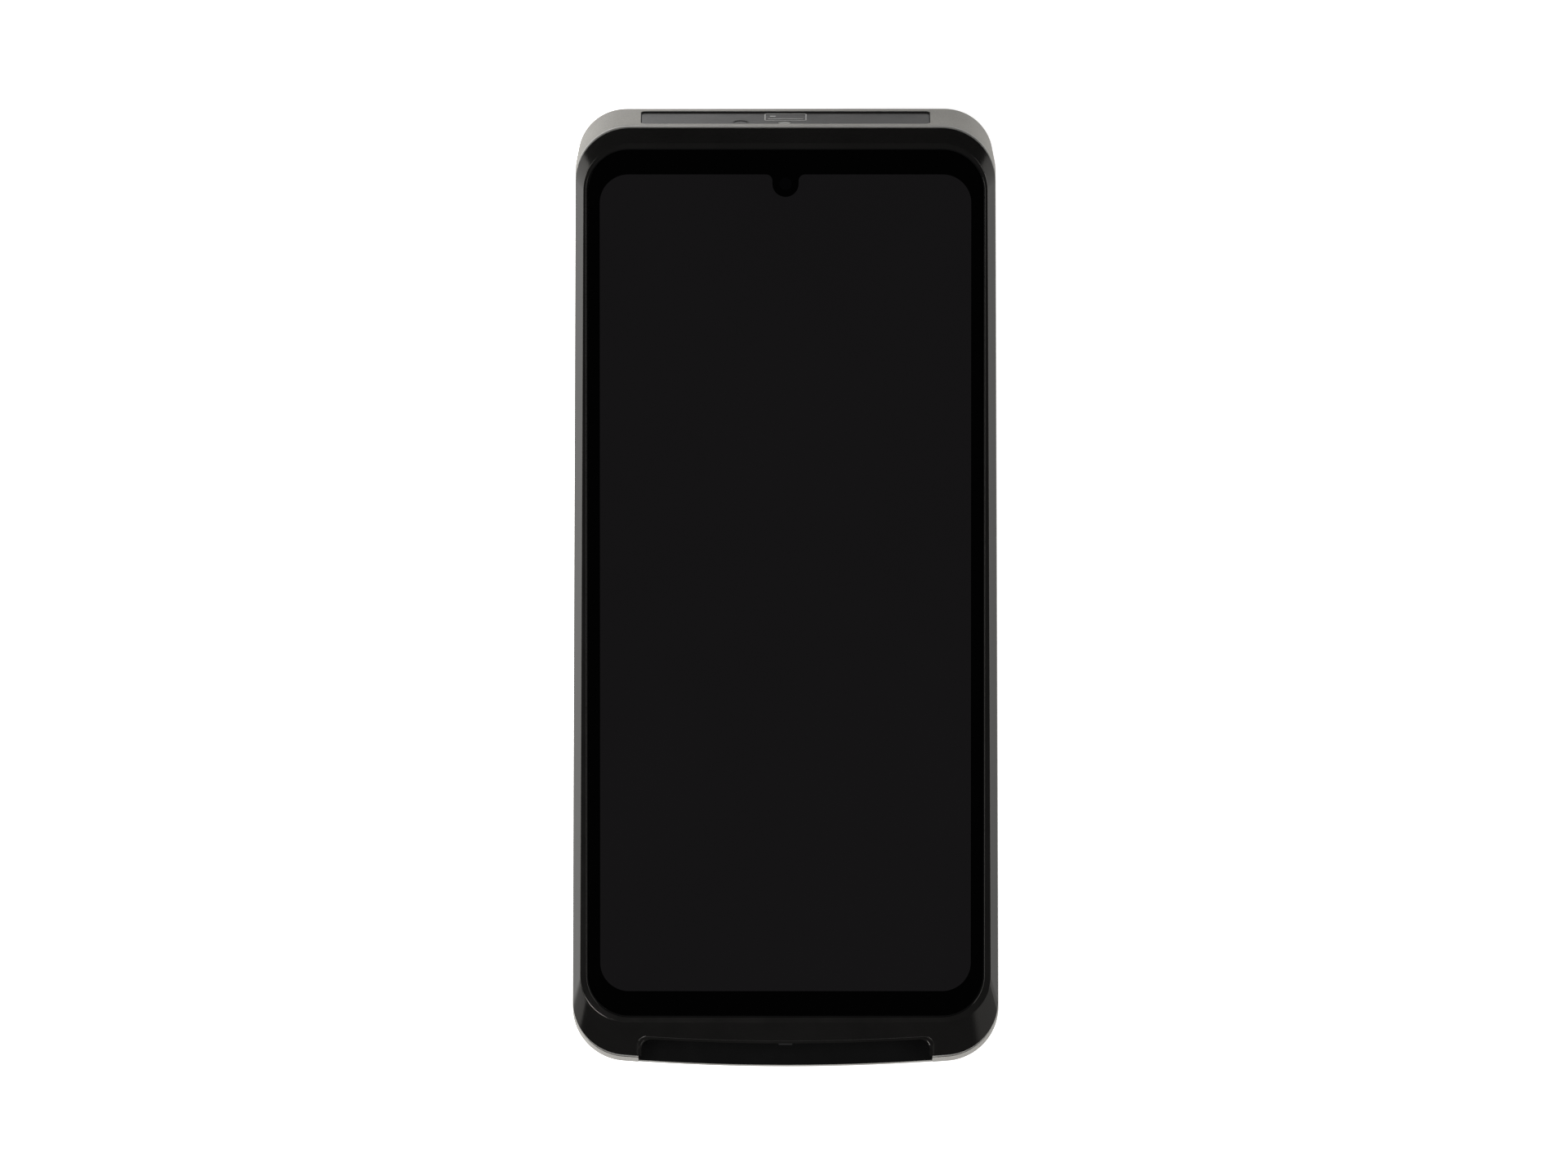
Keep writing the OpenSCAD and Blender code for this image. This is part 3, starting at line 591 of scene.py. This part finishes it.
# ---- front frame and ring ----

# The flat land round the glass, the facets that slope down from it, and the scoop's step
LAND_HALF_TOP, LAND_HALF_BOTTOM, LAND_BOW = 37.9, 38.6, 4000
Z_FACET, Z_LAND = Z_FRAME + 0.2, DEPTH - 0.04
RIM_STEP, Z_STEP = 0.52, 16.4
OUTER_BEAD, INNER_BEAD = 0.2, 0.17
OPENING, LEDGE = 0.45, -0.6


def facet_height(x, y):
    """Height of the frame's sloped bottom facet."""
    low, high = Y_FRAME_BOTTOM + x ** 2 / (2 * BOW), Y_LAND_BOTTOM + x ** 2 / (2 * LAND_BOW)
    return Z_FACET + (Z_LAND - Z_FACET) * (y - low) / (high - low)


def scoop_bead(grow, r, height):
    """Rolled edge along the scoop's rim, where the facet is higher than the rim's foot."""
    points = scoop_outline(grow + r * 0.9)
    y_foot = Y_FRAME_BOTTOM + SLOT_HALF ** 2 / (2 * BOW) + 0.3
    points = [(points[1][0], y_foot)] + points[2:] + [(points[0][0], y_foot)]
    path = [Vector((x, y, height(x, y) - r * 0.9)) for x, y in points
            if facet_height(x, y) >= height(x, y)]
    return bead(path, r)


def front_frame():
    """Gloss frame with sloped facets, a flat land round the glass and a stepped scoop."""
    foot = outline(HALF_TOP - 0.22, HALF_BOTTOM - 0.22, Y_FRAME_TOP - 0.12,
                   Y_FRAME_BOTTOM + 0.12, 10, 10.1)
    lower = outline(HALF_TOP - 0.1, HALF_BOTTOM - 0.1, Y_FRAME_TOP, Y_FRAME_BOTTOM, 10.1, 10.2)
    upper = outline(LAND_HALF_TOP, LAND_HALF_BOTTOM, Y_LAND_TOP, Y_LAND_BOTTOM, 8.9, 8.8,
                    LAND_BOW)
    land = outline(LAND_HALF_TOP - 0.1, LAND_HALF_BOTTOM - 0.1, Y_LAND_TOP - 0.06,
                   Y_LAND_BOTTOM + 0.14, 8.85, 8.75, LAND_BOW)
    rings = [(foot, Z_FRAME), (mixed(foot, lower, 0.7), Z_FRAME + 0.06), (lower, Z_FACET)]
    rings += [(mixed(lower, upper, t), Z_FACET + (Z_LAND - Z_FACET) * t)
              for t in (0.03, 0.5, 0.97)]
    rings += [(upper, Z_LAND), (mixed(upper, land, 0.5), DEPTH - 0.012), (land, DEPTH)]
    rings += [(screen_outline(grow), z) for grow, z in (
        (OPENING + 0.04, DEPTH), (OPENING + 0.01, DEPTH - 0.015), (OPENING, DEPTH - 0.04),
        (OPENING, Z_LEDGE), (LEDGE, Z_LEDGE), (LEDGE, Z_FRAME))]
    bm = cut(skin(rings, closed=True), scoop(-RIM_STEP, Z_FRAME - 1, DEPTH + 1),
             scoop(0, Z_STEP, DEPTH + 1))
    return joined([bm, scoop_bead(0, OUTER_BEAD, facet_height),
                   scoop_bead(-RIM_STEP, INNER_BEAD, lambda x, y: Z_STEP)])


piece("front_frame_moulding", front_frame(), FINISHES["front_frame"],
      "front_frame", sharp=20)


def mid_frame():
    """Bright ring with the plate inside it; the scoop's walls are black."""
    z0, z1 = Z_RING

    def ring(inset):
        return outline(HALF_TOP - 0.07 - inset, HALF_BOTTOM - 0.07 - inset, Y_RING_TOP - inset,
                       Y_RING_BOTTOM + inset, 10, BOTTOM_CORNER - 0.1)

    plate = body_outline(SIDE_WALL + 0.2, Y_END - 4.05, 3.3 - Y_END, 7.7)
    front_camera = disc((0, Y_NOTCH), 4, Z_PLATE - 1, z1)
    card_reader = box((-14.2, -68.2, Z_PLATE - 1), (20.2, -43.8, z1))
    lead_slot = box((-12, -31, Z_PLATE - 1), (-2, -28, z1))
    screw_holes = [disc(p, 1, Z_PLATE - 1, Z_PLATE + 0.8) for p in HOUSING_SCREWS]
    bm = fused(pillow(ring, rounded_depths(z0, z1, 0.15, 0.15, 3)),
               prism(plate, Z_PLATE, z0 + 0.1))
    bm = cut(bm, prism(screen_outline(LEDGE), Z_PLATE + 1, z1 + 1),
             scoop(0.1, Z_PLATE - 1, z1 + 1),
             joined([front_camera, card_reader, lead_slot] + screw_holes))
    bm.normal_update()
    y_bay = SCOOP_DEPTH - Y_END + 1.2
    for face in bm.faces:
        middle = face.calc_center_median()
        if abs(face.normal.z) < 0.5 and middle.y < y_bay and abs(middle.x) < SLOT_HALF + 0.2:
            face.material_index = 1
    return bm


piece("metal_ring", mid_frame(), [FINISHES["metal_ring"], FINISHES["black_plastic"]],
      "mid_frame")


# ---- rear housing ----

def key_opening(side, y, length):
    """Shallow pocket in the side wall and the slot that a key comes through."""
    half_x, half_y = length / 2, KEY_HEIGHT / 2
    pocket = rounded_slab(half_x + 1, half_y + 1, 2, HALF_TOP - 0.85, HALF_TOP + 3)
    slot = rounded_slab(half_x + 0.15, half_y + 0.15, 1.5, 30, HALF_TOP - 0.5)
    return [placed(tool, wall_frame(side, y, Z_KEY)) for tool in (pocket, slot)]


def housing_shell():
    """Solid housing: rounded back edge, waist, bulge, and the rim under the ring."""
    rings = []
    for turn in range(0, 90, 10):
        z = Z_EDGE * (1 - math.cos(math.radians(turn)))
        inset = Z_EDGE * (1 - math.sin(math.radians(turn))) + 0.6
        rings.append((outline(HALF_TOP - inset, HALF_BOTTOM - inset, Y_END + 0.6 - inset,
                              inset + 0.65 - Y_END, 9.5 - inset * 0.8,
                              BOTTOM_CORNER - inset * 0.8), z))
    slope = math.tan(TOP_SLOPE)
    waist = outline(HALF_TOP - 0.5, HALF_BOTTOM - 0.6, Y_END, 1.25 - Y_END, 8.9,
                    BOTTOM_CORNER - 0.4)
    bulge = outline(HALF_TOP, HALF_BOTTOM, Y_END - (Z_BULGE - Z_EDGE) * slope, -Y_END, 9.6,
                    BOTTOM_CORNER)
    above = outline(HALF_TOP, HALF_BOTTOM, Y_END - (Z_ABOVE - Z_EDGE) * slope, 0.25 - Y_END,
                    9.7, BOTTOM_CORNER)
    rim = outline(HALF_TOP - 0.12, HALF_BOTTOM - 0.12, Y_RIM_TOP, Y_RIM_BOTTOM, 10,
                  BOTTOM_CORNER - 0.1)
    lip = outline(HALF_TOP - 0.22, HALF_BOTTOM - 0.22, Y_RIM_TOP - 0.1, Y_RIM_BOTTOM + 0.1, 10,
                  BOTTOM_CORNER - 0.2)
    rings += [(waist, Z_EDGE), (mixed(waist, bulge, 0.5), (Z_EDGE + Z_BULGE) / 2),
              (mixed(waist, bulge, 0.9), Z_BULGE - 0.8), (bulge, Z_BULGE), (above, Z_ABOVE),
              (mixed(above, rim, 0.5), (Z_ABOVE + Z_RIM) / 2), (rim, Z_RIM - 0.08),
              (lip, Z_RIM)]
    return skin(rings)


def rear_housing():
    """Hollow shell with its screw posts and every opening in the walls and the back."""
    below, inside, through = -1, BACK_WALL - 0.5, BACK_WALL + 0.01
    cavity = body_outline(SIDE_WALL, Y_END - 3.85, 3.05 - Y_END, 7.8)
    groove = outline(HALF_TOP - 0.32, HALF_BOTTOM - 0.32, Y_RIM_TOP - 0.2, Y_RIM_BOTTOM + 0.13,
                     10, BOTTOM_CORNER - 0.3)
    shell = cut(housing_shell(), prism(cavity, BACK_WALL, Z_RIM + 1))
    shell = cut(shell, prism(groove, Z_RIM - GROOVE_DEPTH, Z_RIM + 1))

    posts = [disc(p, 2.6, inside, Z_PLATE - 0.05) for p in HOUSING_SCREWS]
    posts += [disc(p, 2.2, inside, 8.4) for p in BOARD_SCREWS]
    posts += [disc(p, 2, inside, 6) for p in COVER_SCREWS]
    shell = fused(shell, joined(posts))
    shell = cut(shell, scoop(0.05, Z_SLOT - LIP_THICKNESS - 0.05, Z_RIM + 1))

    # Back: bays for the cover, the battery and the camera, loudspeaker slots, pads and screws
    cover_bay = rounded_slab(30.15, 46.15, 5.15, below, 1.3, COVER_MIDDLE)
    battery_bay = rounded_slab(25.8, 40.3, 2, below, through, COVER_MIDDLE)
    back = [rounded_slab(12.8, 6, 5.9, below, 0.65, CAMERA_PLATE)]
    back += [rounded_slab(0.6, 4.5, 0.55, below, through, (SPEAKER[0] + 2.4 * i, SPEAKER[1]))
             for i in range(-3, 4)]
    back += [disc(p, 2.1, below, through) for p in CHARGE_PADS]
    back += [disc(p, 2.1, below, 3.2) for p in HOUSING_SCREWS]
    deep = [disc(REAR_CAMERA, 4.15, 0, through), disc(FLASH, 2.2, 0, through)]
    deep += [disc(p, 1.15, 0.5, Z_PLATE) for p in HOUSING_SCREWS]
    deep += [disc(p, 0.8, 4.4, 9.4) for p in BOARD_SCREWS]
    deep += [disc(p, 0.8, below, 5) for p in COVER_SCREWS]

    # Top face and side walls
    window = rounded_slab(WINDOW_HALF, WINDOW_LENGTH / 2, 1, -1.5, 2, WINDOW_MIDDLE)
    window_bay = rounded_slab(WINDOW_HALF - 1.2, WINDOW_LENGTH / 2 - 1.3, 1, -9, 0,
                              WINDOW_MIDDLE)
    port = placed(rounded_slab(4.75, 1.9, 1.85, 33, 42), wall_frame(-1, PORT_Y, PORT_Z))
    tray = placed(rounded_slab(8.2, 1.1, 1.05, 36, 42), wall_frame(1, PORT_Y, TRAY_Z))
    microphone = placed(disc((0, 0), 0.6, 35, 42), wall_frame(-1, MICROPHONE_Y, MICROPHONE_Z))
    pockets, slots = zip(*(key_opening(side, y, length) for _, side, y, length, _, _ in KEYS))
    return cut(shell, cover_bay, battery_bay, joined(back), joined(deep),
               placed(window, top_frame()), placed(window_bay, top_frame()),
               joined([port, tray, microphone]), joined(pockets), joined(slots))


piece("rear_shell", rear_housing(), FINISHES["housing_paint"], "rear_housing",
      sharp=28)


# ---- top window, lens and lamp ----

RECESS = 0.28
SCAN_ALONG = (SCAN_Z - Z_RIM) / math.cos(TOP_SLOPE)


def top_window():
    """Smoked plate with round holes for the scanner's lens and its lamp."""
    gap = 0.14
    plate = rounded_slab(WINDOW_HALF - gap, WINDOW_LENGTH / 2 - gap, 1 - gap, -1.4, -RECESS,
                         WINDOW_MIDDLE, r1=0.06)
    holes = joined([disc((x, SCAN_ALONG), r + 0.05, -2, 0)
                    for x, r in ((LENS_X, LENS_RADIUS), (LED_X, LED_RADIUS))])
    return placed(cut(plate, holes), top_frame())


def window_seal():
    """Black gasket in the gap around the plate."""
    profile = ((0.01, -1.49), (0.01, -0.06), (0.03, -0.03), (0.1, -0.03), (0.12, -0.06),
               (0.12, -1.4), (1.2, -1.4), (1.2, -1.49))
    rings = [(rounded_rect(WINDOW_HALF - gap, WINDOW_LENGTH / 2 - gap, 1 - gap, WINDOW_MIDDLE), z)
             for gap, z in profile]
    return placed(skin(rings, closed=True), top_frame())


def round_insert(x, r, bezel):
    """Lens or lamp that stands in a hole of the window, level with it."""
    rings = [(r, 3.1), (r, 0.03), (r - 0.03, 0), (r - bezel + 0.03, 0), (r - bezel, 0.03),
             (r - bezel - 0.02, 0.1), (r * 0.35, 0.04), (0.02, 0.02)]
    return placed(turned((x, SCAN_ALONG), [(radius, -RECESS - depth) for radius, depth in rings]),
                  top_frame())


piece("tinted_top_window", top_window(), FINISHES["tinted_window"],
      "top_window")
piece("top_window_seal", window_seal(), FINISHES["foam"], "window_seal")
piece("scanner_lens", round_insert(LENS_X, LENS_RADIUS, 0.18), FINISHES["tinted_window"],
      "scan_lens")
piece("scanner_lamp", round_insert(LED_X, LED_RADIUS, 0.12), FINISHES["lamp_resin"],
      "scan_led")


def tap_mark():
    """Outline of a plain card with a stripe, printed where a card is tapped."""
    z0, z1, at = -RECESS, 0.04 - RECESS, (0, -6.5)
    frame_line = cut(rounded_slab(3.95, 2.5, 0.7, z0, z1, at),
                     rounded_slab(3.73, 2.28, 0.5, z0 - 1, z1 + 1, at))
    stripe = rounded_slab(3.3, 0.14, 0.1, z0, z1, (0, at[1] + 1.1))
    chip = rounded_slab(0.55, 0.3, 0.12, z0, z1, (-2.4, at[1] - 0.6))
    return placed(joined([frame_line, stripe, chip]), top_frame())


piece("tap_zone_mark", tap_mark(), FINISHES["print_white"], "tap_symbol")
piece("card_ramp_mark", rounded_slab(1.3, 0.16, 0.15, Z_SLOT - 0.02, Z_SLOT + 0.05,
                                     (0, SCOOP_DEPTH - Y_END - 1.55), r1=0.03),
      FINISHES["foam"])


# ---- keys ----

def side_key(length, flange_depth):
    """Key with a crowned face and soft edges, and the flange that keeps it in the wall."""
    half_x, half_y, flange_top = length / 2, KEY_HEIGHT / 2, KEY_FLANGE + flange_depth
    crown = [(0, 0.42), (0.04, 0.28), (0.14, 0.15), (0.3, 0.07), (0.7, 0.02), (1.3, 0)]
    stem = [(0, flange_top - 0.1)] + [(inset, KEY_FACE - drop) for inset, drop in crown]
    key = pillow(lambda i: rounded_rect(half_x - i, half_y - i, max(1.35 - i, 0.05)), stem)
    return fused(rounded_slab(half_x + 0.7, half_y + 0.6, 0.6, KEY_FLANGE, flange_top), key)


def ribbed(key):
    """Three shallow grip lines across a scan key."""
    grooves = [rounded_slab(0.18, 0.75, 0.15, KEY_FACE - 0.22, KEY_FACE + 1, (x, 0))
               for x in (-1.2, 0, 1.2)]
    return cut(key, joined(grooves))


for name, side, y, length, flange_depth, slot in KEYS:
    key = side_key(length, flange_depth)
    if slot == "key_orange":
        key = ribbed(key)
    piece(name + "_cap", placed(key, wall_frame(side, y, Z_KEY)), FINISHES[slot], name,
          body=name)


# ---- back ----

def rear_cover():
    """Textured battery cover with soft edges, screw recesses and a thumb notch."""
    plate = rounded_slab(30, 46, 5, 0, 1.25, COVER_MIDDLE, r0=0.3, r1=0.1)
    recesses = [disc(p, 1.7, -1, 0.8) for p in COVER_SCREWS]
    holes = [disc(p, 0.9, 0.5, 2) for p in COVER_SCREWS]
    return cut(plate, joined(recesses), joined(holes),
               rounded_slab(9, 1.6, 1.5, -1, 0.45, (0, 43.5)))


piece("battery_cover", rear_cover(), FINISHES["cover_texture"], "rear_cover")
piece("rear_camera_window", rounded_slab(12.65, 5.85, 5.75, 0.1, 0.65, CAMERA_PLATE, r0=0.12),
      FINISHES["screen_glass"], "camera_window")
piece("rear_lens_ring", cut(disc(REAR_CAMERA, 3.9, 0.03, 0.12), disc(REAR_CAMERA, 3.3, -1, 1)),
      FINISHES["metal_ring"])
piece("rear_lens",
      turned(REAR_CAMERA, [(0.05, 0.02), (1.2, 0.03), (2.2, 0.055), (3.0, 0.09), (3.0, 0.12)]),
      FINISHES["lens_glass"])
piece("rear_flash_lens", disc(FLASH, 1.7, 0.06, 0.12), FINISHES["led"])


# ---- camera, lights and floor ----

CAMERA_TILT = math.radians(9.3)
CAMERA_TARGET = Vector((-0.28, 1.87, GLASS_HIGH.z)) * MM
LENS, SENSOR, VIEW_WIDTH = 1000.0, 36.0, 0.2939

# Name, place, size and power of each soft box; all face the terminal
SOFT_BOXES = [("left_box", (-0.9, 0.0, 1.0), (1.0, 0.8), 14),
              ("right_box", (0.9, 0.0, 1.0), (1.0, 0.8), 11),
              ("small_box", (-0.25, -0.46, 1.1), (0.16, 0.16), 5)]


def soft_box(name, place, size, power):
    data = bpy.data.lights.new(name, "AREA")
    data.shape, data.size, data.size_y = "RECTANGLE", size[0], size[1]
    data.energy = power
    obj = bpy.data.objects.new(name, data)
    obj.location = place
    obj.rotation_euler = (-Vector(place)).to_track_quat("-Z", "Y").to_euler()
    bpy.context.scene.collection.objects.link(obj)


def camera():
    """Long lens above the screen, tipped towards the top end."""
    back = Vector((0, math.sin(CAMERA_TILT), math.cos(CAMERA_TILT)))
    up = Vector((0, math.cos(CAMERA_TILT), -math.sin(CAMERA_TILT)))
    data = bpy.data.cameras.new("camera")
    data.lens, data.sensor_width = LENS, SENSOR
    data.clip_start, data.clip_end = 0.1, 60
    obj = bpy.data.objects.new("camera", data)
    obj.location = CAMERA_TARGET + back * (VIEW_WIDTH * LENS / SENSOR)
    right = up.cross(back)
    obj.rotation_mode = "QUATERNION"
    obj.rotation_quaternion = Matrix((right, up, back)).transposed().to_quaternion()
    bpy.context.scene.collection.objects.link(obj)
    bpy.context.scene.camera = obj


def floor():
    """Pale table that glows, more on the left, so that the gloss frame mirrors it."""
    bm = bmesh.new()
    bmesh.ops.create_grid(bm, x_segments=1, y_segments=1, size=5)
    obj = as_object(bm, "floor")
    obj.location.z = -0.05 * MM
    material = finish("floor", (188, 188, 187), 0.8, mottle=0.01, mottle_mm=400)
    nodes, links = material.node_tree.nodes, material.node_tree.links
    shader = nodes["Principled BSDF"]
    place = nodes.new("ShaderNodeTexCoord")
    split = nodes.new("ShaderNodeSeparateXYZ")
    links.new(place.outputs["Object"], split.inputs["Vector"])

    across = smooth_step(nodes, links, split.outputs["X"], -0.05, 0.02, 1.8, 0.74)
    below = smooth_step(nodes, links, split.outputs["Y"], -0.12, -0.095, 1, 0)
    glow = nodes.new("ShaderNodeMix")
    glow.inputs["B"].default_value = 1.15
    links.new(across, glow.inputs["A"])
    links.new(below, glow.inputs["Factor"])
    links.new(glow.outputs["Result"], shader.inputs["Emission Strength"])
    shader.inputs["Emission Color"].default_value = (1, 1, 1, 1)
    obj.data.materials.append(material)


def world():
    """Dark room with a glow at the front right and a lower, brighter one at the front left."""
    studio = bpy.data.worlds.new("studio")
    studio.use_nodes = True
    nodes, links = studio.node_tree.nodes, studio.node_tree.links
    coords = nodes.new("ShaderNodeTexCoord")
    split = nodes.new("ShaderNodeSeparateXYZ")
    links.new(coords.outputs["Generated"], split.inputs["Vector"])

    def step(source, start, end, low, high):
        return smooth_step(nodes, links, source, start, end, low, high)

    def calculate(operation, a, b):
        node = nodes.new("ShaderNodeMath")
        node.operation = operation
        for value, target in ((a, node.inputs[0]), (b, node.inputs[1])):
            if isinstance(value, float):
                target.default_value = value
            else:
                links.new(value, target)
        return node.outputs["Value"]

    x, y, z = (split.outputs[axis] for axis in "XYZ")
    front = step(y, -0.35, -0.2, 1, 0)
    right = calculate("MULTIPLY", step(x, 0.36, 0.48, 0, 0.76), step(z, 0.6, 0.72, 1, 0))
    left = calculate("MULTIPLY", step(x, -0.7, -0.6, 1.6, 0), step(z, 0.42, 0.46, 1, 0))
    glow = calculate("MULTIPLY", front, calculate("ADD", right, left))
    background = nodes["Background"]
    links.new(calculate("ADD", glow, 0.012), background.inputs["Strength"])
    background.inputs["Color"].default_value = (1, 1, 1, 1)
    bpy.context.scene.world = studio


camera()
floor()
world()
for box_settings in SOFT_BOXES:
    soft_box(*box_settings)
bpy.context.scene.view_settings.view_transform = "Standard"
